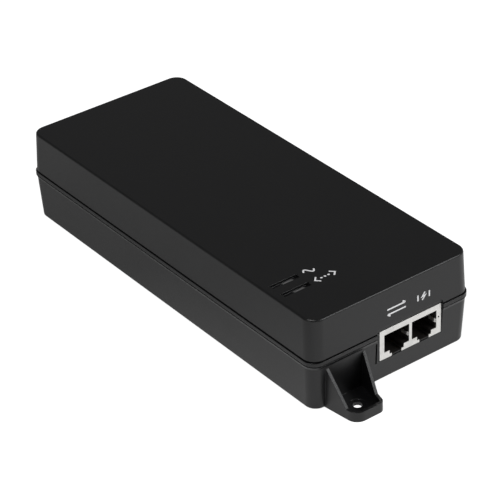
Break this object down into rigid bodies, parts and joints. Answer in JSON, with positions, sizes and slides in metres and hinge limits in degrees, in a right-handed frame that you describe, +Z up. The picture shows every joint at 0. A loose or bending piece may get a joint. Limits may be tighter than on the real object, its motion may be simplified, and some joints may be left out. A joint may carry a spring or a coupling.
{
  "type": "poe injector",
  "caption": "Mains-fed Power over Ethernet injector in a moulded plastic case, with diagonal screw lugs, a mains inlet at one end and data and powered network jacks at the other.",
  "frame": {"origin": "centre of the underside, on the surface the case stands on", "axes": "+Z up, +Y from the network jack end to the mains inlet end, +X to the right when the jacks face the viewer"},
  "size_m": [0.0804, 0.2234, 0.041],
  "materials": {
    "case_plastic": "fine textured black moulding",
    "jack_plastic": "matt black moulding",
    "inlet_plastic": "smooth black moulding",
    "clear_plastic": "frosted clear moulding",
    "label_film": "blank satin film",
    "sheet_plastic": "insulating sheet",
    "steel": "zinc plated",
    "shield_steel": "tinned sheet steel",
    "print_ink": "white ink of the printed marks on the case",
    "plated_brass": "nickel plated brass",
    "gold_wire": "gold plated spring wire",
    "tinned_wire": "tinned wire",
    "board_laminate": "solder mask over glass laminate",
    "lamp_plastic": "moulded lens",
    "blue_coating": "dipped coating",
    "green_coating": "dipped coating",
    "yellow_box": "moulded box",
    "ferrite": "sintered ferrite",
    "copper_winding": "enamelled copper",
    "winding_tape": "polyester tape",
    "chip_moulding": "moulded epoxy",
    "capacitor_sleeve": "shrunk sleeve",
    "aluminium_plate": "mill finish",
    "bobbin_moulding": "phenolic moulding",
    "pad_film": "silicone pad",
    "fuse_ceramic": "ceramic tube with plated caps",
    "small_ceramic": "ceramic chips"
  },
  "bodies": {
    "case": {"base_shell": "case_plastic", "top_cover": "case_plastic", "rating_label": "label_film", "insulation_sheet": "sheet_plastic", "case_screws": "steel", "board_screws": "steel", "light_pipe_ac": "clear_plastic", "light_pipe_port": "clear_plastic", "led_ac": "lamp_plastic", "led_port": "lamp_plastic", "jack_shield": "shield_steel", "rj45_housing": "jack_plastic", "rj45_contact_leads": "tinned_wire", "c14_inlet_housing": "inlet_plastic", "line_pin": "plated_brass", "neutral_pin": "plated_brass", "earth_pin": "plated_brass", "fuse": "fuse_ceramic", "varistor": "blue_coating", "thermistor": "green_coating", "x_capacitors": "yellow_box", "input_choke_core": "ferrite", "input_choke_windings": "copper_winding", "bridge_rectifier": "chip_moulding", "bulk_capacitor": "capacitor_sleeve", "primary_heatsink": "aluminium_plate", "switching_transistor": "chip_moulding", "transistor_pad": "pad_film", "transistor_screw": "steel", "switching_controller": "chip_moulding", "transformer_core": "ferrite", "transformer_bobbin": "bobbin_moulding", "transformer_pins": "tinned_wire", "primary_winding": "copper_winding", "secondary_winding": "winding_tape", "y_capacitors": "blue_coating", "optocouplers": "chip_moulding", "insulation_barrier": "sheet_plastic", "secondary_heatsink": "aluminium_plate", "output_rectifier": "chip_moulding", "rectifier_pad": "pad_film", "rectifier_screw": "steel", "output_capacitors": "capacitor_sleeve", "output_inductor_core": "ferrite", "output_inductor_winding": "copper_winding", "power_controller": "chip_moulding", "lan_transformers": "chip_moulding", "smd_passives": "small_ceramic", "main_board": "board_laminate"},
    "data_contacts": {"data_contacts": "gold_wire"},
    "poe_contacts": {"poe_contacts": "gold_wire"}
  },
  "joints": [
    {"name": "data_contacts_flex", "type": "hinge", "parent": "case", "child": "data_contacts", "pos_m": [0.00206, -0.09475, 0.01975], "axis": [1, 0, 0], "range_deg": [0, 12], "stiffness_Nm_per_rad": 0.05},
    {"name": "poe_contacts_flex", "type": "hinge", "parent": "case", "child": "poe_contacts", "pos_m": [0.01604, -0.09475, 0.01975], "axis": [1, 0, 0], "range_deg": [0, 12], "stiffness_Nm_per_rad": 0.05}
  ]
}
